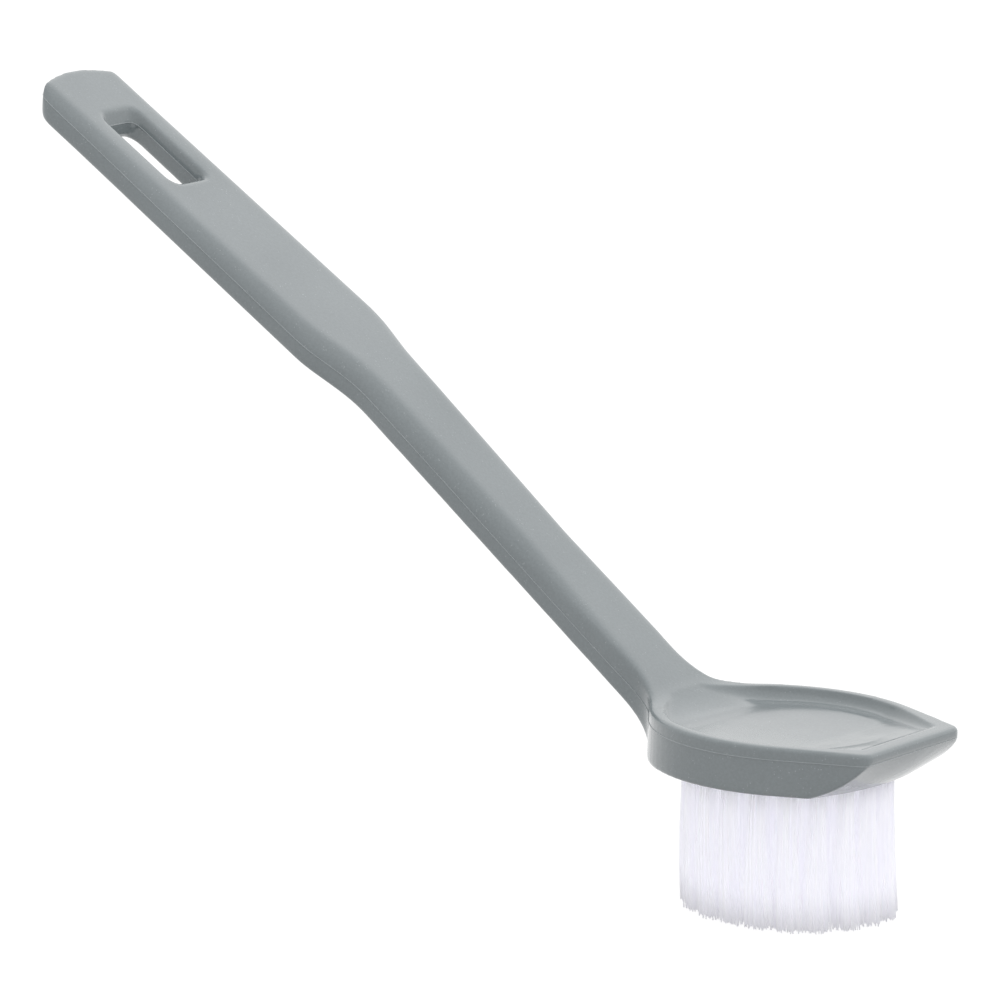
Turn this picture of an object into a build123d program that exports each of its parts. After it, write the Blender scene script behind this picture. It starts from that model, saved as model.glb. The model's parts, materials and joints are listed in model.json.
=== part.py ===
from build123d import *
from math import acos, atan2, cos, degrees, hypot, pi, radians, sin, sqrt, tan
import os

os.makedirs("parts", exist_ok=True)

# Driving dimensions, in millimetres and degrees
# The origin is the centre of the bristle tips, +X to the scraper, -X along the handle, +Z up

# Head
bristle_length = 28.5
head_radius = 28.0
scraper_past_head = 0.5
scraper_half_width = 17.5
scraper_corner_radius = 3.0
parting_height = 7.4
rim_height_rear = 10.7
rim_height_front = 9.8
top_bevel = 0.7

# Sloping underside of the scraper lip, swelling from the round base up to the parting line
lip_ledge = 0.3
base_past_holes = 0.8
base_bow = 4.2
base_bow_half_width = 21.0
lip_height_shares = (-0.3, 0, 0.3, 0.65, 1, 1.3)
lip_reach_shares = (-0.45, 0, 0.42, 0.76, 1, 1.15)

# Dished top of the head
rim_width = 2.9
dish_floor_height = 7.8
dish_front_length = 14.5
dish_front_drop = 0.5
dish_wall_radius = 3.2
dish_ramp_radius = 16.5
dish_front_radius = 33.0
ramp_extra_angle = 3.0
channel_half_width = 4.6
channel_blend_radius = 8.3
channel_length = 9.3

# Handle, as a centreline of two straight runs
neck_inside_rim = 3.35
neck_height = 5.95
shank_slope = 37.9
grip_slope = 32.1
shank_length = 94.2
grip_length = 92.0
bend_radius = 160.0
neck_radius = 9.3
rim_blend_radius = 12.4
neck_half_width = 7.6
shank_half_width = 10.8
grip_half_width = 14.6
end_half_width = 14.3
step_length = 14.1
step_before_bend = 1.9
end_corner_radius = 3.2
end_bulge = 2.7
above_neck = 4.4
above_bend = 3.3
above_end = 2.2
below_neck = 3.5
below_bend = 3.8
below_end = 4.0
bottom_edge_radius = 0.8

# Soft shoulders along the handle's top, which fade out towards the neck
shoulder_bevel = 2.6
shoulder_at_neck = 0.5
shoulder_fade = 25.0
step_shares = (0, 0.25, 0.5, 0.75, 1)

# Hanging slot, cut along Z, narrowest at the parting line, its draft given at either face
slot_end_gap = 12.65
slot_length = 20.5
slot_width = 10.6
slot_corner_radius = 1.6
slot_end_draft = 0.9
slot_side_draft = 0.7
slot_edge_radius = 1.5

# Bristle tufts: one in the middle and rings of drilled holes round it, no nearer than their pitch
ring_names = ("inner", "middle", "outer")
ring_turns = (0, 9, 13.4)
edge_to_tufts = 8.7
tuft_pitch = 5.85
hole_radius = 2.2
hole_depth = 5.0

# Strands of one tuft, one in the middle and the rest round it, which spread towards their tips
strand_count = 11
strand_root_overlap = 0.5
strand_width = 0.68
strand_tip_width = 0.9
strand_root_radius = 1.46
flare_share = 1.6
tip_unevenness = 0.5
outer_tip_drop = 0.9
tip_unevenness_shares = (0.6, 0, 0.2, 1, 0, 0.4, 0.8)

# Flat wire anchor across the foot of each hole
anchor_length = 4.8
anchor_height = 1.7
anchor_thickness = 0.35
anchor_lift = 0.7

# Cuts run this far past the faces that they open, points this near each other are one place,
# and a face that leans less than this many degrees is a wall
overrun = 6.0
same_place = 0.001
wall_lean = 1

scraper_x = head_radius + scraper_past_head
neck_x = neck_inside_rim - head_radius
ring_count = len(ring_names)
field_radius = head_radius - edge_to_tufts
ring_step = field_radius / ring_count
underside = bristle_length
dish_floor = underside + dish_floor_height


def along(slope):
    """Unit vector up the handle, in the XZ plane."""
    return Vector(-cos(radians(slope)), 0, sin(radians(slope)))


def normal(slope):
    """Unit vector out of the handle's top face, in the XZ plane."""
    return Vector(sin(radians(slope)), 0, cos(radians(slope)))


# Points of the handle's centreline, and of its top face
neck = Vector(neck_x, 0, underside + neck_height)
bend = neck + along(shank_slope) * shank_length
end = bend + along(grip_slope) * grip_length
bend_normal = normal((shank_slope + grip_slope) / 2)
top_neck = neck + normal(shank_slope) * above_neck
top_bend = bend + bend_normal * above_bend
top_end = end + normal(grip_slope) * above_end


def crest(x):
    """Height of the rim's top plane at x."""
    share = (x + head_radius) / (scraper_x + head_radius)
    return underside + rim_height_rear + (rim_height_front - rim_height_rear) * share


def at_x(start, finish, x):
    """Height at x of the straight line through two points."""
    return start.Z + (finish.Z - start.Z) * (x - start.X) / (finish.X - start.X)


def where_meets(start, finish, height):
    """x at which the straight line through two points has a height."""
    return start.X + (finish.X - start.X) * (height - start.Z) / (finish.Z - start.Z)


def head_outline(inset):
    """Shield seen from above: round at the rear, straight sides to the scraper's corners."""
    radius = head_radius - inset
    x = scraper_x - inset
    y = scraper_half_width - inset
    reach = hypot(x, y)
    angle = degrees(atan2(y, x) + acos(radius / reach))
    touch = Vector(radius, 0, 0).rotate(Axis.Z, angle)
    mirrored = Vector(touch.X, -touch.Y, 0)
    arc = ThreePointArc(touch, (-radius, 0, 0), mirrored)
    sides = Polyline(mirrored, (x, -y, 0), (x, y, 0), touch)
    return make_face([arc, *sides.edges()])


def rim_points(side):
    """One side of the handle seen from above: its foot, the step's start and finish, its tip."""
    step_start = bend.X + step_before_bend
    return (
        Vector(0, side * neck_half_width, 0),
        Vector(step_start, side * shank_half_width, 0),
        Vector(step_start - step_length, side * grip_half_width, 0),
        Vector(end.X, side * end_half_width, 0),
    )


def step_curve(side):
    """Soft step from the shank's width to the grip's."""
    foot, low, high, tip = rim_points(side)
    third = step_length / 3
    shank_way = (low - foot).normalized()
    grip_way = (tip - high).normalized()
    return Bezier(low, low + shank_way * third, high - grip_way * third, high)


def handle_outline():
    """Handle seen from above: narrow shank, a soft step, wide grip with a rounded end."""
    cap = ThreePointArc(
        (end.X, end_half_width, 0), (end.X - end_bulge, 0, 0), (end.X, -end_half_width, 0)
    )
    edges = [cap, Line((0, neck_half_width, 0), (0, -neck_half_width, 0))]
    for side in (1, -1):
        foot, low, high, tip = rim_points(side)
        edges += [Line(foot, low), step_curve(side), Line(high, tip)]
    blade = make_face(edges)
    corners = [v for v in blade.vertices() if abs(v.X - end.X) < end_corner_radius / 2]
    return fillet(corners, end_corner_radius)


def shoulder_section(place, bevel):
    """Triangle across the handle above a bevel, on one side, that would be that wide."""
    start, finish = (top_neck, top_bend) if place.X > bend.X else (top_bend, top_end)
    drop = (start - finish).length / (start.X - finish.X)
    height = at_x(start, finish, place.X)
    side = 1 if place.Y > 0 else -1
    middle = Vector(place.X, place.Y - side * bevel / 2, height - drop * bevel / 2)
    down = Vector(0, side, -drop) * overrun
    out = Vector(0, side, 1) * overrun
    return make_face(Polyline(middle - down, middle + down, middle + out, close=True).edges())


def shoulder_cut(side):
    """Wedge that takes the edge off one long shoulder of the handle."""
    foot, low, high, tip = rim_points(side)
    shank_way = (low - foot) / (low.X - foot.X)
    grip_way = (tip - high) / (tip.X - high.X)
    start_x = neck_x - neck_radius
    past_x = end.X - end_bulge - overrun
    stations = [
        (foot + shank_way * start_x, shoulder_at_neck),
        (foot + shank_way * (start_x - shoulder_fade), shoulder_bevel),
    ]
    curve = step_curve(side)
    stations += [(curve.position_at(share), shoulder_bevel) for share in step_shares]
    stations.append((tip + grip_way * (past_x - tip.X), shoulder_bevel))
    return loft([shoulder_section(*station) for station in stations], ruled=True)


def side_profile():
    """The body seen from the side, closed by the rim's plane above and the base below."""
    low_neck = neck - normal(shank_slope) * below_neck
    low_bend = bend - bend_normal * below_bend
    low_end = end - normal(grip_slope) * below_end
    left = end.X - end_bulge
    front = scraper_x + overrun
    rise = (crest(front) - crest(neck_x)) / (front - neck_x)
    slope = (top_bend.Z - top_neck.Z) / (top_bend.X - top_neck.X)
    meet_x = (crest(neck_x) - rise * neck_x - top_neck.Z + slope * top_neck.X) / (slope - rise)
    points = [
        Vector(front, 0, crest(front)),
        Vector(meet_x, 0, crest(meet_x)),
        top_bend,
        Vector(left, 0, at_x(top_bend, top_end, left)),
        Vector(left, 0, at_x(low_bend, low_end, left)),
        low_bend,
        Vector(where_meets(low_neck, low_bend, underside), 0, underside),
        Vector(front, 0, underside),
    ]
    radii = [0, rim_blend_radius, bend_radius, 0, 0, bend_radius, 0, 0]
    return make_face(FilletPolyline(*points, radius=radii, close=True).edges())


def wall_edges(block, upward):
    """Edges where the upright walls meet the faces above them, or below them."""
    walls = []
    caps = []
    for face in block.faces():
        lean = face.normal_at(face.center()).Z
        if abs(lean) < sin(radians(wall_lean)):
            walls.append(face)
        elif (lean > 0) == upward:
            caps.append(face)
    edges = [e for wall in walls for e in wall.edges()]
    rims = [e for cap in caps for e in cap.edges()]
    return [e for e in edges if any(e.is_same(rim) for rim in rims)]


def seam(body, first, second):
    """Edges of a body that lie on the skins of both of two other solids."""
    skins = [second.faces(), first.faces()]
    edges = []
    for edge in body.edges():
        points = [edge.position_at(share) for share in (0.25, 0.75)]
        if all(min(f.distance_to(p) for f in skin) < same_place for skin in skins for p in points):
            edges.append(edge)
    return edges


def outer_block():
    """Body before its lip, dish, slot and holes."""
    plan = head_outline(0) + handle_outline()
    inner = [
        v for v in plan.vertices()
        if abs(v.Y) < 2 * neck_half_width and -head_radius < v.X < 0
    ]
    plan = fillet(inner, neck_radius)
    corners = [v for v in plan.vertices() if abs(v.X - scraper_x) < same_place]
    plan = fillet(corners, scraper_corner_radius)
    tall = extrude(Pos(0, 0, underside - overrun) * plan, 2 * end.Z)
    profile = extrude(side_profile(), head_radius + overrun, both=True)
    block = tall & profile
    block = chamfer(wall_edges(block, True), top_bevel)
    block = fillet(wall_edges(block, False), bottom_edge_radius)
    return block - shoulder_cut(1) - shoulder_cut(-1)


def lip_undercut():
    """Space in front of and below the scraper lip, behind a face that fades from arc to line."""
    base_x = field_radius + hole_radius + base_past_holes
    front = scraper_x + overrun
    y = base_bow_half_width + overrun
    bow = base_bow * (y / base_bow_half_width) ** 2
    faces = []
    for height_share, reach_share in zip(lip_height_shares, lip_reach_shares):
        height = underside + height_share * parting_height
        middle = base_x + reach_share * (scraper_x - lip_ledge - base_x)
        wing = middle - max(0, 1 - reach_share) * bow
        left = Vector(wing, y, height)
        right = Vector(wing, -y, height)
        if bow * (1 - reach_share) > same_place:
            edge = ThreePointArc(right, (middle, 0, height), left)
        else:
            edge = Line(right, left)
        rest = Polyline(left, (front, y, height), (front, -y, height), right)
        faces.append(make_face([edge, *rest.edges()]))
    return loft(faces)


def dish_plan():
    """The dish seen from above: the head's outline inside its rim, open towards the handle."""
    plan = head_outline(rim_width)
    back = -head_radius - channel_length
    channel = Pos(back / 2, 0) * Rectangle(-back, 2 * channel_half_width)
    plan = plan + channel
    meet_x = -sqrt((head_radius - rim_width) ** 2 - channel_half_width**2)
    inner = [v for v in plan.vertices() if abs(v.X - meet_x) < rim_width / 2]
    return fillet(inner, channel_blend_radius)


def dish():
    """Space scooped out of the head's top, running up into the handle's top face."""
    tall = extrude(Pos(0, 0, underside) * dish_plan(), end.Z)
    slope = shank_slope + ramp_extra_angle
    foot = Vector(top_neck.X + (top_neck.Z - dish_floor) / tan(radians(slope)), 0, dish_floor)
    high = foot + along(slope) * (shank_length / 2)
    lip_x = scraper_x - rim_width
    rise = Vector(lip_x - dish_front_length, 0, dish_floor)
    lip = Vector(lip_x, 0, crest(lip_x) - dish_front_drop)
    front = scraper_x + overrun
    points = [
        high,
        foot,
        rise,
        Vector(front, 0, at_x(rise, lip, front)),
        Vector(front, 0, high.Z),
    ]
    radii = [0, dish_ramp_radius, dish_front_radius, 0, 0]
    view = make_face(FilletPolyline(*points, radius=radii, close=True).edges())
    space = tall & extrude(view, head_radius + overrun, both=True)
    return fillet(wall_edges(space, False), dish_wall_radius)


def hanging_slot():
    """Slot through the grip, wider at both faces than at the parting line."""
    finish = end.X - end_bulge + slot_end_gap
    middle_x = finish + slot_length * cos(radians(grip_slope)) / 2
    centre = Vector(middle_x, 0, at_x(bend, end, middle_x))
    slope = normal(grip_slope)
    halves = []
    for depth in (-below_end, above_end):
        faces = []
        for share in (0, 2):
            lift = Vector(0, 0, share * depth / cos(radians(grip_slope)))
            plane = Plane(centre + lift, x_dir=along(grip_slope), z_dir=slope)
            outline = RectangleRounded(
                slot_length + 2 * share * slot_end_draft,
                slot_width + 2 * share * slot_side_draft,
                slot_corner_radius + share * slot_end_draft,
            )
            faces.append(plane * outline)
        halves.append(loft(faces, ruled=True))
    return halves[0] + halves[1]


def tuft_places():
    """Name and place of every tuft, from the middle outwards."""
    places = {"tuft_centre": Location((0, 0, 0))}
    for ring, name in enumerate(ring_names):
        radius = (ring + 1) * ring_step
        count = int(2 * pi * radius / tuft_pitch)
        for k in range(count):
            turn = Rot(0, 0, ring_turns[ring] + 360 * k / count)
            places[f"tuft_{name}_{k + 1}"] = turn * Pos(radius, 0)
    return places


def upright(place):
    """The same place with the part's own directions."""
    return Pos(place.position)


def tuft_hole():
    """Blind drilled hole, up from the head's underside."""
    return Pos(0, 0, underside + hole_depth / 2) * Cylinder(hole_radius, hole_depth)


def anchor():
    """Flat wire across the hole, its ends bitten into the wall on both sides."""
    middle = underside + hole_depth - anchor_lift - anchor_height / 2
    return Pos(0, 0, middle) * Box(anchor_thickness, anchor_length, anchor_height)


def strand(radius, angle, tip):
    """One four-sided strand, from inside the root to its own tip height."""
    top = underside + strand_root_overlap
    turn = Rot(0, 0, angle)
    root = Pos(0, 0, top) * turn * Pos(radius, 0) * Rectangle(strand_width, strand_width)
    end_face = turn * Pos(radius * flare_share, 0) * Rectangle(strand_tip_width, strand_tip_width)
    return loft([root, Pos(0, 0, tip) * end_face], ruled=True)


def tuft(ring):
    """Root, held in its hole, and the strands that spread from it; the outermost are shorter."""
    spread = strand_root_radius * flare_share
    parts = []
    for count, radius in ((1, 0), (strand_count - 1, strand_root_radius)):
        for k in range(count):
            angle = 360 * k / count
            past = ring * ring_step + radius * flare_share * cos(radians(angle)) - field_radius
            drop = outer_tip_drop * max(0, past / spread)
            share = tip_unevenness_shares[(k + count + ring) % len(tip_unevenness_shares)]
            parts.append(strand(radius, angle, drop + tip_unevenness * share))
    return tuft_hole().fuse(*parts)


def brush_body():
    """Handle and head, moulded in one piece, with the tufts' holes drilled from below."""
    blank = outer_block() - lip_undercut()
    slot = hanging_slot()
    body = blank - slot
    body = fillet(seam(body, blank, slot), slot_edge_radius) - dish()
    cuts = []
    for place in tuft_places().values():
        cuts.append(place * tuft_hole())
        cuts.append(upright(place) * anchor())
    return body.cut(*cuts)


# One STEP file for each piece
export_step(brush_body(), "parts/brush_body.step")
tufts = [tuft(ring) for ring in range(ring_count + 1)]
anchors = []
for name, place in tuft_places().items():
    wire = upright(place) * anchor()
    anchors.append(wire)
    ring = round(place.position.length / ring_step)
    export_step(place * tufts[ring] - wire, f"parts/{name}.step")
export_step(Compound(children=anchors), "parts/tuft_anchors.step")
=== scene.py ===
import bpy
import json
import math
import random
import numpy as np
from mathutils import Matrix, Vector

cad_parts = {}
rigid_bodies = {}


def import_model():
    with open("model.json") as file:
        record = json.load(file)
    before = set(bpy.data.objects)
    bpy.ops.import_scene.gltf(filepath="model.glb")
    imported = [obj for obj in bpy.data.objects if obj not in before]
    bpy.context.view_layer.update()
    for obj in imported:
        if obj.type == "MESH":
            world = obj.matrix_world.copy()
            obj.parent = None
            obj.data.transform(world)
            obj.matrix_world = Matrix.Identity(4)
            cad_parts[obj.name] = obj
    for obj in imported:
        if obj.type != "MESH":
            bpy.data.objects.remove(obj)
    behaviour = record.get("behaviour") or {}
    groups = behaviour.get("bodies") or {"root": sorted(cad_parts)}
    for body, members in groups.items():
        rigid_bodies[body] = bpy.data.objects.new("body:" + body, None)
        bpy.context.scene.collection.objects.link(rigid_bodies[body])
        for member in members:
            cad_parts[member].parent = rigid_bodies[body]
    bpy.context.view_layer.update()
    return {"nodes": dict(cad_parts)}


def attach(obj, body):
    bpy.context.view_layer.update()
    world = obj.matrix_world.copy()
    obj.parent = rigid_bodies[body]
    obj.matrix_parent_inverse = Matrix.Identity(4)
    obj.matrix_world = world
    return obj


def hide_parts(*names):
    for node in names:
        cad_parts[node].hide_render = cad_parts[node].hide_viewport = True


MM = 0.001

for old in list(bpy.data.objects):
    bpy.data.objects.remove(old)
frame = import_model()

# Shapes of the solids that this script follows, in millimetres and degrees, in the part's frame
UNDERSIDE = 28.5
PARTING = 35.9
NECK = (-24.65, 34.45)
SHANK_SLOPE = 37.9
GRIP_SLOPE = 32.1
SHANK_LENGTH = 94.2
RINGS = (6, 13, 20)
RING_NAMES = ("inner", "middle", "outer")
RING_TURNS = (0, 9, 13.4)
OUTER_RING_RADIUS = 19.3
RING_PITCH = OUTER_RING_RADIUS / len(RINGS)

# Camera at the photo's viewing angle: azimuth, elevation and roll in degrees, offset in millimetres
# to the right, up and away from the middle of the head's underside
CAMERA_AZIMUTH = 33.13
CAMERA_ELEVATION = 11.608
CAMERA_ROLL = 2.515
CAMERA_OFFSET = (56.646, -52.217, 1766.66)
CAMERA_LENS = 324
SENSOR_WIDTH = 36
CLIP_START = 0.01
CLIP_END = 100


def add_object(name, data):
    piece = bpy.data.objects.new(name, data)
    bpy.context.scene.collection.objects.link(piece)
    return piece


def aim_camera():
    azimuth, elevation, roll = (
        math.radians(v) for v in (CAMERA_AZIMUTH, CAMERA_ELEVATION, CAMERA_ROLL)
    )
    back = Vector((
        math.sin(azimuth) * math.cos(elevation),
        -math.cos(azimuth) * math.cos(elevation),
        math.sin(elevation),
    ))
    right = (-back).cross(Vector((0, 0, 1))).normalized()
    up = right.cross(-back)
    side = math.cos(roll) * right + math.sin(roll) * up
    top = -math.sin(roll) * right + math.cos(roll) * up
    across, above, away = CAMERA_OFFSET
    place = -(side * across + top * above - back * away) + Vector((0, 0, UNDERSIDE))
    data = bpy.data.cameras.new("camera")
    data.sensor_width = SENSOR_WIDTH
    data.lens = CAMERA_LENS
    data.clip_start = CLIP_START
    data.clip_end = CLIP_END
    camera = add_object("camera", data)
    turn = Matrix((side, top, back)).transposed().to_4x4()
    camera.matrix_world = Matrix.Translation(place * MM) @ turn
    bpy.context.scene.camera = camera


# Mesh helpers

def vertex_values(mesh, name):
    values = np.empty(len(mesh.vertices) * 3)
    mesh.vertices.foreach_get(name, values)
    return values.reshape(-1, 3)


def move_vertices(mesh, points):
    mesh.vertices.foreach_set("co", points.ravel())
    mesh.update()


def new_mesh(name, verts, faces):
    mesh = bpy.data.meshes.new(name)
    mesh.from_pydata(verts, [], faces)
    mesh.validate()
    return mesh


def dress(piece, material):
    piece.data.materials.clear()
    piece.data.materials.append(material)


# Material helpers

def new_material(name):
    material = bpy.data.materials.new(name)
    material.use_nodes = True
    nodes = material.node_tree.nodes
    return material, nodes, material.node_tree.links, nodes["Principled BSDF"]


def grey(v):
    return (v, v, v)


def feed(links, socket, value):
    """Links an output to the socket, or sets the socket to a number or a colour."""
    if hasattr(value, "links"):
        links.new(value, socket)
    elif isinstance(value, tuple):
        socket.default_value = (*value, 1)
    else:
        socket.default_value = value


def object_place(nodes):
    return nodes.new("ShaderNodeTexCoord").outputs["Object"]


def noise(nodes, links, place, scale, detail=2.0, roughness=0.5):
    node = nodes.new("ShaderNodeTexNoise")
    node.inputs["Scale"].default_value = scale
    node.inputs["Detail"].default_value = detail
    node.inputs["Roughness"].default_value = roughness
    links.new(place, node.inputs["Vector"])
    return node.outputs["Fac"]


def ramp(nodes, links, value, stops):
    """Colour that goes through the stops, each a value and a colour, as value rises."""
    node = nodes.new("ShaderNodeValToRGB")
    elements = node.color_ramp.elements
    while len(elements) < len(stops):
        elements.new(0.5)
    for element, (place, colour) in zip(elements, stops):
        element.position = place
        element.color = (*colour, 1)
    links.new(value, node.inputs["Fac"])
    return node.outputs["Color"]


def mix_colour(nodes, links, kind, factor, a, b):
    node = nodes.new("ShaderNodeMix")
    node.data_type = "RGBA"
    node.blend_type = kind
    feed(links, node.inputs["Factor"], factor)
    feed(links, node.inputs["A"], a)
    feed(links, node.inputs["B"], b)
    return node.outputs["Result"]


def bump(nodes, links, height, strength, depth, under=None):
    node = nodes.new("ShaderNodeBump")
    node.inputs["Strength"].default_value = strength
    node.inputs["Distance"].default_value = depth
    links.new(height, node.inputs["Height"])
    if under is not None:
        links.new(under, node.inputs["Normal"])
    return node.outputs["Normal"]


def maths(nodes, links, operation, *values):
    node = nodes.new("ShaderNodeMath")
    node.operation = operation
    for socket, value in zip(node.inputs, values):
        feed(links, socket, value)
    return node.outputs[0]


# Materials: textures have scales per metre, bump depths are in metres

PLASTIC = ((0.205, 0.232, 0.24), (0.228, 0.256, 0.264))
# Lighter greys for the flash line: a painted highlight along the seam, not a different plastic
FLASH_PAINTED_HIGHLIGHT = ((0.28, 0.31, 0.32), (0.31, 0.34, 0.35))
FLECK = (0.52, 0.55, 0.56)
FLECK_SCALE = 1500
PLASTIC_IOR = 1.49
COAT = 0.45
COAT_ROUGHNESS = 0.12
NYLON = ((0.955, 0.95, 0.985), (0.99, 0.99, 0.995))
NYLON_IOR = 1.53
# Painted glow of the bristles: emission that stands in for light scattered many times between the clear
# filaments
PAINTED_GLOW_COLOUR = (0.96, 0.955, 1.0, 1)
STREAK_STRETCH = 0.05
TRANSLUCENCY = 0.35
PAINTED_GLOW = 0.15
WIRE = (0.6, 0.6, 0.62, 1)


def plastic_colour(nodes, links, place, dark, light):
    """Faint clouds between two greys, sparse pale flecks and a fine darker grain."""
    cloud = noise(nodes, links, place, scale=45, detail=3)
    base = ramp(nodes, links, cloud, ((0.3, dark), (0.7, light)))
    cells = nodes.new("ShaderNodeTexVoronoi")
    cells.inputs["Scale"].default_value = FLECK_SCALE
    links.new(place, cells.inputs["Vector"])
    dots = ramp(nodes, links, cells.outputs["Distance"],
                ((0, grey(1)), (0.16, grey(0.7)), (0.22, grey(0))))
    sparse = noise(nodes, links, place, scale=420, detail=1)
    few = ramp(nodes, links, sparse, ((0.52, grey(0)), (0.66, grey(0.4))))
    flecks = mix_colour(nodes, links, "MULTIPLY", 1.0, dots, few)
    flecked = mix_colour(nodes, links, "MIX", flecks, base, FLECK)
    grain = noise(nodes, links, place, scale=1900, roughness=0.6)
    shade = ramp(nodes, links, grain, ((0.3, grey(0.9)), (0.7, grey(1))))
    return mix_colour(nodes, links, "MULTIPLY", 1.0, flecked, shade)


def moulded_plastic(name, dark, light):
    """Grey-green moulding with a satin skin and a soft coat of gloss."""
    material, nodes, links, shader = new_material(name)
    place = object_place(nodes)
    links.new(plastic_colour(nodes, links, place, dark, light), shader.inputs["Base Color"])
    skin = noise(nodes, links, place, scale=160, detail=4)
    gloss = ramp(nodes, links, skin, ((0.3, grey(0.13)), (0.75, grey(0.2))))
    links.new(gloss, shader.inputs["Roughness"])
    shader.inputs["IOR"].default_value = PLASTIC_IOR
    shader.inputs["Coat Weight"].default_value = COAT
    shader.inputs["Coat Roughness"].default_value = COAT_ROUGHNESS
    pores = noise(nodes, links, place, scale=700)
    waves = noise(nodes, links, place, scale=60)
    fine = bump(nodes, links, pores, strength=0.04, depth=0.0002)
    broad = bump(nodes, links, waves, strength=0.06, depth=0.0006, under=fine)
    links.new(broad, shader.inputs["Normal"])
    return material


def bristle_nylon():
    """White nylon that lets light through, with a painted glow that stands in for light scattered many
    times between filaments.
    """
    material, nodes, links, shader = new_material("bristle_nylon_filament")
    stretch = nodes.new("ShaderNodeMapping")
    stretch.inputs["Scale"].default_value = (1, 1, STREAK_STRETCH)
    links.new(object_place(nodes), stretch.inputs["Vector"])
    streak = noise(nodes, links, stretch.outputs["Vector"], scale=1500)
    dark, light = NYLON
    colour = ramp(nodes, links, streak, ((0.3, dark), (0.7, light)))
    links.new(colour, shader.inputs["Base Color"])
    gloss = ramp(nodes, links, streak, ((0.3, grey(0.32)), (0.7, grey(0.45))))
    links.new(gloss, shader.inputs["Roughness"])
    shader.inputs["IOR"].default_value = NYLON_IOR
    # Painted glow: emission in place of light scattered between filaments, not a lamp
    shader.inputs["Emission Color"].default_value = PAINTED_GLOW_COLOUR
    shader.inputs["Emission Strength"].default_value = PAINTED_GLOW / (1 - TRANSLUCENCY)
    through = nodes.new("ShaderNodeBsdfTranslucent")
    links.new(colour, through.inputs["Color"])
    both = nodes.new("ShaderNodeMixShader")
    both.inputs[0].default_value = TRANSLUCENCY
    links.new(shader.outputs[0], both.inputs[1])
    links.new(through.outputs[0], both.inputs[2])
    links.new(both.outputs[0], nodes["Material Output"].inputs["Surface"])
    return material


def anchor_wire():
    """Bright drawn wire."""
    material, nodes, links, shader = new_material("anchor_wire_bright")
    lines = noise(nodes, links, object_place(nodes), scale=2500)
    gloss = ramp(nodes, links, lines, ((0.3, grey(0.25)), (0.7, grey(0.4))))
    links.new(gloss, shader.inputs["Roughness"])
    shader.inputs["Base Color"].default_value = WIRE
    shader.inputs["Metallic"].default_value = 1
    return material


# Body: the solid's skin, remeshed finely and smoothed as a moulding is. Spans run along x, from
# where a change starts to where it is full, and lengths are in millimetres

VOXEL = 0.3
HEAD_PASSES = 6
SLOT_PASSES = 10
END_PASSES = 45
HANDLE_PASSES = 60
PASS_STRENGTH = 0.5
HANDLE_STARTS = (-27, -35)
END_STARTS = (-168, -176)
SLOT_SPAN = (-171, -145)
SLOT_HALF_SPAN = 7.5
BOWL_RADIUS = 450
BOWL_DROP = 0.25
BOWL_REACH = (23.5, 19)
SKIN_INSET = 0.12


def share_between(values, span):
    """0 at the span's first value, 1 at its second, and clipped beyond them."""
    start, full = span
    return np.clip((values - start) / (full - start), 0, 1)


def smoothing_passes(points):
    """How often each point is smoothed: hardly at all on the head, most on the handle's shoulders."""
    x, y = points[:, 0] / MM, np.abs(points[:, 1]) / MM
    passes = HEAD_PASSES + (HANDLE_PASSES - HEAD_PASSES) * share_between(x, HANDLE_STARTS)
    passes = passes + (END_PASSES - passes) * share_between(x, END_STARTS)
    low, high = SLOT_SPAN
    inside = np.clip(np.minimum(np.minimum(x - low, high - x), SLOT_HALF_SPAN - y), 0, 1)
    return passes + (SLOT_PASSES - passes) * inside


def bowl_rise(points):
    """How far the dish's floor lies above or below a flat one, as moulded floors sink in the middle."""
    x, y, z = (points / MM).T
    share = share_between(np.hypot(x, y), BOWL_REACH) * (z > PARTING)
    return (y ** 2 / (2 * BOWL_RADIUS) - BOWL_DROP) * share * MM


def smooth_skin(mesh):
    points = vertex_values(mesh, "co")
    count = len(points)
    edges = np.empty(len(mesh.edges) * 2, dtype=np.int32)
    mesh.edges.foreach_get("vertices", edges)
    a, b = edges.reshape(-1, 2).T
    near = np.bincount(a, minlength=count) + np.bincount(b, minlength=count)
    passes = smoothing_passes(points)
    for done in range(HANDLE_PASSES):
        move = np.clip(passes - done, 0, 1)[:, None] * PASS_STRENGTH
        total = np.stack([
            np.bincount(a, points[b, axis], count) + np.bincount(b, points[a, axis], count)
            for axis in range(3)
        ], axis=1)
        points = points + move * (total / near[:, None] - points)
    move_vertices(mesh, points)
    points = points - vertex_values(mesh, "normal") * SKIN_INSET * MM
    points[:, 2] += bowl_rise(points)
    move_vertices(mesh, points)


def body_skin(material):
    piece = add_object("brush_body_skin", frame["nodes"]["brush_body"].data.copy())
    remesh = piece.modifiers.new("remesh", "REMESH")
    remesh.mode = "VOXEL"
    remesh.voxel_size = VOXEL * MM
    remesh.use_smooth_shade = True
    graph = bpy.context.evaluated_depsgraph_get()
    skin = bpy.data.meshes.new_from_object(piece.evaluated_get(graph))
    piece.modifiers.clear()
    piece.data = skin
    smooth_skin(skin)
    for polygon in skin.polygons:
        polygon.use_smooth = True
    dress(piece, material)
    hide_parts("brush_body")
    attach(piece, "root")
    return piece


# Flash line: the thin raised seam that the mould's two halves leave round the body and in its slot

FLASH_RADIUS = 0.13
FLASH_STEP = 0.7
FLASH_SIDES = 6
BEND_SOFTNESS = 0.8
NECK_SOFTNESS = 3
MIDDLE = -100


def softly(a, b, width, sign):
    """The larger of a and b for sign 1, the smaller for -1, rounded off where they meet."""
    return (a + b + sign * np.sqrt((a - b) ** 2 + width ** 2)) / 2


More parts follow.
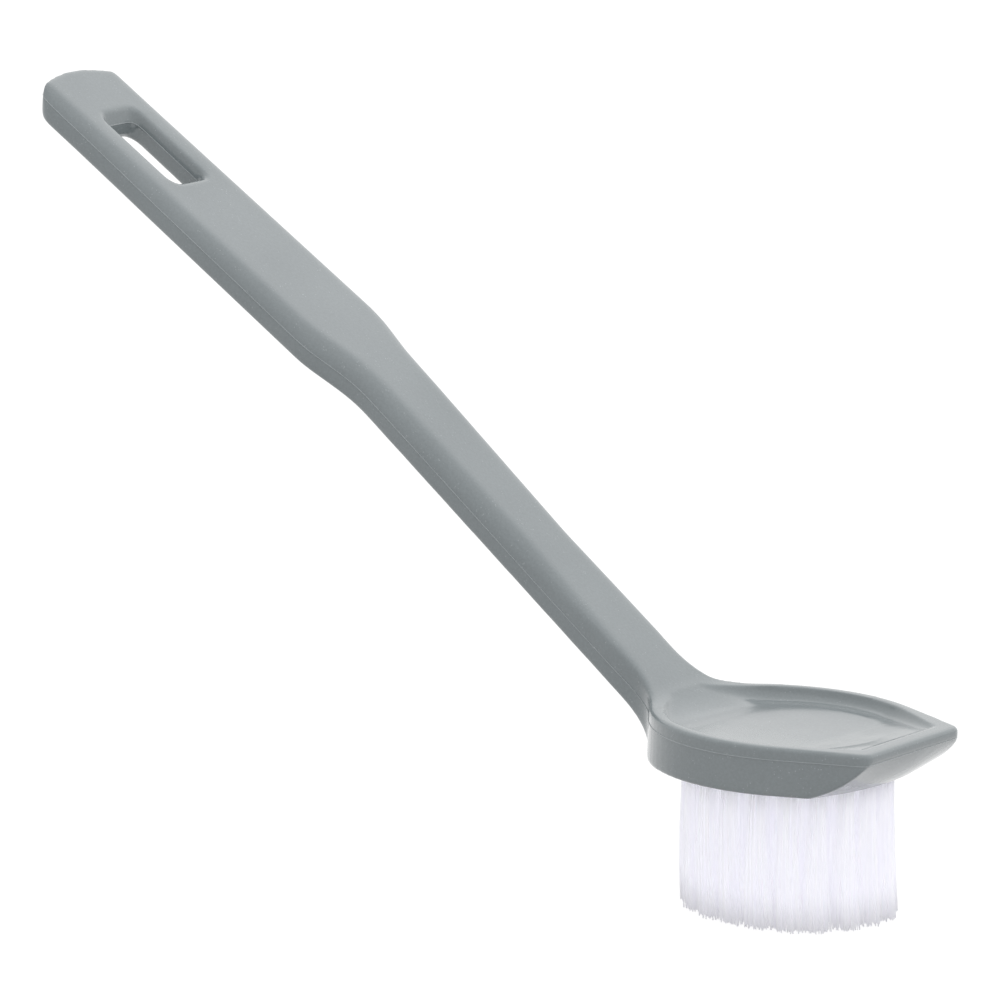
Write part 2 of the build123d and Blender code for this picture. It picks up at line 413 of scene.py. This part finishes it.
def parting(x):
    """Height of the parting surface at x, level at the head and along the handle's centreline."""
    shank, grip = math.radians(SHANK_SLOPE), math.radians(GRIP_SLOPE)
    neck_x, neck_z = NECK
    bend_x = neck_x - SHANK_LENGTH * math.cos(shank)
    bend_z = neck_z + SHANK_LENGTH * math.sin(shank)
    low = neck_z + (neck_x - x) * math.tan(shank)
    high = bend_z + (bend_x - x) * math.tan(grip)
    return softly(PARTING, softly(low, high, BEND_SOFTNESS, -1), NECK_SOFTNESS, 1)


def seam_loops(mesh):
    """Closed lines in which the parting surface meets the skin, in millimetres."""
    points = vertex_values(mesh, "co") / MM
    above = points[:, 2] - parting(points[:, 0])
    mesh.calc_loop_triangles()
    corners = np.empty(len(mesh.loop_triangles) * 3, dtype=np.int32)
    mesh.loop_triangles.foreach_get("vertices", corners)
    corners = corners.reshape(-1, 3)
    side = (above[corners] > 0).sum(axis=1)
    joins = {}
    for triangle in corners[(side > 0) & (side < 3)]:
        cut = []
        for a, b in ((0, 1), (1, 2), (2, 0)):
            pair = (int(triangle[a]), int(triangle[b]))
            if (above[pair[0]] > 0) != (above[pair[1]] > 0):
                cut.append((min(pair), max(pair)))
        joins.setdefault(cut[0], []).append(cut[1])
        joins.setdefault(cut[1], []).append(cut[0])
    loops = []
    while joins:
        first = next(iter(joins))
        loop, here = [], first
        while here in joins:
            loop.append(here)
            ahead = joins.pop(here)
            here = next((spot for spot in ahead if spot in joins), first)
        line = []
        for a, b in loop:
            share = above[a] / (above[a] - above[b])
            line.append(points[a] + (points[b] - points[a]) * share)
        loops.append(np.array(line))
    return loops


def follows_mould(loop):
    """True for the seam round the whole body and for the one in the slot."""
    round_body = loop[:, 0].min() < MIDDLE and loop[:, 0].max() > 0
    in_slot = loop[:, 0].max() < MIDDLE
    return round_body or in_slot


def even_loop(line):
    """The closed line in even steps, without the remesh's own jitter."""
    closed = np.vstack([line, line[:1]])
    lengths = np.concatenate([[0], np.cumsum(np.linalg.norm(np.diff(closed, axis=0), axis=1))])
    count = int(lengths[-1] / FLASH_STEP)
    places = np.linspace(0, lengths[-1], count, endpoint=False)
    even = np.stack([np.interp(places, lengths, closed[:, axis]) for axis in range(3)], axis=1)
    return (np.roll(even, 1, axis=0) + 2 * even + np.roll(even, -1, axis=0)) / 4


def add_bead(verts, faces, line):
    """A thin closed tube along the closed line."""
    start, count = len(verts), len(line)
    for k in range(count):
        ahead = line[(k + 1) % count] - line[k - 1]
        ahead = ahead / np.linalg.norm(ahead)
        out = np.cross(ahead, (0, 0, 1))
        out = out / np.linalg.norm(out)
        up = np.cross(out, ahead)
        for turn in range(FLASH_SIDES):
            angle = math.tau * turn / FLASH_SIDES
            spot = line[k] + FLASH_RADIUS * (math.cos(angle) * out + math.sin(angle) * up)
            verts.append(tuple(spot * MM))
    for k in range(count):
        a = start + k * FLASH_SIDES
        b = start + (k + 1) % count * FLASH_SIDES
        for turn in range(FLASH_SIDES):
            following = (turn + 1) % FLASH_SIDES
            faces.append((a + turn, b + turn, b + following, a + following))


def flash_line(skin, material):
    verts, faces = [], []
    for loop in seam_loops(skin.data):
        if follows_mould(loop):
            add_bead(verts, faces, even_loop(loop))
    mesh = new_mesh("flash_line", verts, faces)
    for polygon in mesh.polygons:
        polygon.use_smooth = True
    piece = add_object("brush_body_flash_line", mesh)
    dress(piece, material)
    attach(piece, "root")


# Bristles: each tuft's filaments are spread evenly, widen downwards and lean a little towards
# LEAN_WAY at their tips. The strays are the most by which one filament or tuft departs from that

SEED = 7
FILAMENTS = 90
FILAMENT_RADIUS = 0.15
FILAMENT_SIZES = (0.85, 1.1)
FILAMENT_SIDES = 4
FILAMENT_STEPS = 4
FILAMENT_SIDE_SLOPE = 0.9
BUNDLE_RADIUS = 1.4
BUNDLE_WIDENING = (2.0, 2.25)
WIDENING_POWER = 1.3
ROOT_HEIGHT = 30
TIP_HEIGHT = 0.15
TIP_UNEVENNESS = 0.35
LEAN_WAY = (0.837, 0.547)
LEAN = 1.7
LEAN_FADE = 0.05
LEAN_STRAY = 0.3
TURN_STRAY = 0.2
TIP_STRAY = 0.12
BOW_STRAY = 0.15
SKEW_STRAY = 0.12
GOLDEN_ANGLE = math.pi * (3 - math.sqrt(5))


def tuft_places():
    places = {"tuft_centre": (0, 0)}
    for ring, (count, turn) in enumerate(zip(RINGS, RING_TURNS)):
        radius = (ring + 1) * RING_PITCH
        for k in range(count):
            angle = math.radians(turn + 360 * k / count)
            name = f"tuft_{RING_NAMES[ring]}_{k + 1}"
            places[name] = (radius * math.cos(angle), radius * math.sin(angle))
    return places


def filament(verts, faces, line, radius, turn):
    start = len(verts)
    sides = range(FILAMENT_SIDES)
    for x, y, z in line:
        for side in sides:
            angle = turn + math.tau * side / FILAMENT_SIDES
            px, py = x + radius * math.cos(angle), y + radius * math.sin(angle)
            verts.append((px * MM, py * MM, z * MM))
    for step in range(FILAMENT_STEPS):
        for side in sides:
            a = start + step * FILAMENT_SIDES + side
            b = start + step * FILAMENT_SIDES + (side + 1) % FILAMENT_SIDES
            faces.append((a, a + FILAMENT_SIDES, b + FILAMENT_SIDES, b))
    last = start + FILAMENT_STEPS * FILAMENT_SIDES
    faces.append(tuple(start + side for side in sides))
    faces.append(tuple(last + side for side in reversed(sides)))


def bristle_tuft(name, x, y, material, rng):
    def stray(most):
        return rng.uniform(-most, most)

    verts, faces = [], []
    lean = LEAN - LEAN_FADE * (x * LEAN_WAY[0] + y * LEAN_WAY[1])
    lean_x, lean_y = (lean * way + stray(LEAN_STRAY) for way in LEAN_WAY)
    for k in range(FILAMENTS):
        angle = k * GOLDEN_ANGLE + stray(TURN_STRAY)
        root = BUNDLE_RADIUS * math.sqrt((k + 0.5) / FILAMENTS)
        tip = root * rng.uniform(*BUNDLE_WIDENING) + stray(TIP_STRAY)
        height = TIP_HEIGHT + abs(rng.gauss(0, TIP_UNEVENNESS))
        bow = stray(BOW_STRAY)
        skew = stray(SKEW_STRAY)
        line = []
        for step in range(FILAMENT_STEPS + 1):
            t = step / FILAMENT_STEPS
            r = root + (tip - root) * t ** WIDENING_POWER
            a = angle + skew * t
            bend = bow * math.sin(math.pi * t)
            line.append((
                x + r * math.cos(a) + lean_x * t * t + bend * math.sin(a),
                y + r * math.sin(a) + lean_y * t * t - bend * math.cos(a),
                ROOT_HEIGHT + (height - ROOT_HEIGHT) * t,
            ))
        radius = FILAMENT_RADIUS * rng.uniform(*FILAMENT_SIZES)
        filament(verts, faces, line, radius, rng.uniform(0, math.tau))
    mesh = new_mesh(name + "_filaments", verts, faces)
    for polygon in mesh.polygons:
        polygon.use_smooth = abs(polygon.normal.z) < FILAMENT_SIDE_SLOPE
    piece = add_object(name + "_filaments", mesh)
    dress(piece, material)
    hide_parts(name)
    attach(piece, "root")


# Floor and light. The camera and reflections see a white floor and a white world. All else is lit
# by a greyer floor, by a world that is brighter overhead, and by one wide soft sun

AMBIENT = 0.83
AMBIENT_COLOUR = (0.985, 0.99, 1.0, 1)
OVERHEAD = 0.4
OVERHEAD_WAY = (0.1, 0.45, 0.887)
WHITE = (1, 1, 1, 1)
SUN_STRENGTH = 0.5
SUN_ANGLE = 100
SUN_TURN = (-24, 10, 0)
FLOOR_HALF = 30
FLOOR_ALBEDO = 0.5
FLOOR_SEEN_ALBEDO = 0.2
FLOOR_GLOW = 0.86


def seen_rays(nodes, links):
    """1 for what the camera sees, straight, in a reflection or through glass, and 0 for all else."""
    path = nodes.new("ShaderNodeLightPath").outputs
    seen = maths(nodes, links, "MAXIMUM", path["Is Camera Ray"], path["Is Glossy Ray"])
    return maths(nodes, links, "MAXIMUM", seen, path["Is Transmission Ray"])


def build_floor():
    h = FLOOR_HALF
    mesh = new_mesh("studio_floor", [(-h, -h, 0), (h, -h, 0), (h, h, 0), (-h, h, 0)], [(0, 1, 2, 3)])
    material = bpy.data.materials.new("studio_floor_white")
    material.use_nodes = True
    nodes, links = material.node_tree.nodes, material.node_tree.links
    nodes.clear()
    seen = seen_rays(nodes, links)
    paper = nodes.new("ShaderNodeBsdfDiffuse")
    tone = mix_colour(nodes, links, "MIX", seen, grey(FLOOR_ALBEDO), grey(FLOOR_SEEN_ALBEDO))
    links.new(tone, paper.inputs["Color"])
    glow = nodes.new("ShaderNodeEmission")
    strength = maths(nodes, links, "MULTIPLY", seen, FLOOR_GLOW)
    links.new(strength, glow.inputs["Strength"])
    both = nodes.new("ShaderNodeAddShader")
    links.new(paper.outputs[0], both.inputs[0])
    links.new(glow.outputs[0], both.inputs[1])
    out = nodes.new("ShaderNodeOutputMaterial")
    links.new(both.outputs[0], out.inputs["Surface"])
    mesh.materials.append(material)
    add_object("studio_floor", mesh)


def build_world():
    world = bpy.data.worlds.new("studio")
    bpy.context.scene.world = world
    world.use_nodes = True
    nodes, links = world.node_tree.nodes, world.node_tree.links
    nodes.clear()
    way = nodes.new("ShaderNodeVectorMath")
    way.operation = "DOT_PRODUCT"
    links.new(nodes.new("ShaderNodeTexCoord").outputs["Generated"], way.inputs[0])
    way.inputs[1].default_value = OVERHEAD_WAY
    above = maths(nodes, links, "MAXIMUM", way.outputs["Value"], 0)
    ambient = nodes.new("ShaderNodeBackground")
    ambient.inputs["Color"].default_value = AMBIENT_COLOUR
    strength = maths(nodes, links, "MULTIPLY_ADD", above, OVERHEAD, AMBIENT)
    links.new(strength, ambient.inputs["Strength"])
    white = nodes.new("ShaderNodeBackground")
    white.inputs["Color"].default_value = WHITE
    mix = nodes.new("ShaderNodeMixShader")
    links.new(seen_rays(nodes, links), mix.inputs[0])
    links.new(ambient.outputs[0], mix.inputs[1])
    links.new(white.outputs[0], mix.inputs[2])
    out = nodes.new("ShaderNodeOutputWorld")
    links.new(mix.outputs[0], out.inputs["Surface"])


def build_sun():
    data = bpy.data.lights.new("key", "SUN")
    data.energy = SUN_STRENGTH
    data.angle = math.radians(SUN_ANGLE)
    lamp = add_object("key", data)
    lamp.rotation_euler = tuple(math.radians(v) for v in SUN_TURN)


aim_camera()
skin = body_skin(moulded_plastic("moulded_plastic_skin", *PLASTIC))
# The flash line's lighter plastic is a painted highlight along the seam
flash_line(skin, moulded_plastic("moulded_plastic_flash_painted_highlight", *FLASH_PAINTED_HIGHLIGHT))
nylon = bristle_nylon()
rng = random.Random(SEED)
for name, (x, y) in tuft_places().items():
    bristle_tuft(name, x, y, nylon, rng)
dress(frame["nodes"]["tuft_anchors"], anchor_wire())
build_floor()
build_world()
build_sun()
bpy.context.scene.view_settings.view_transform = "Standard"
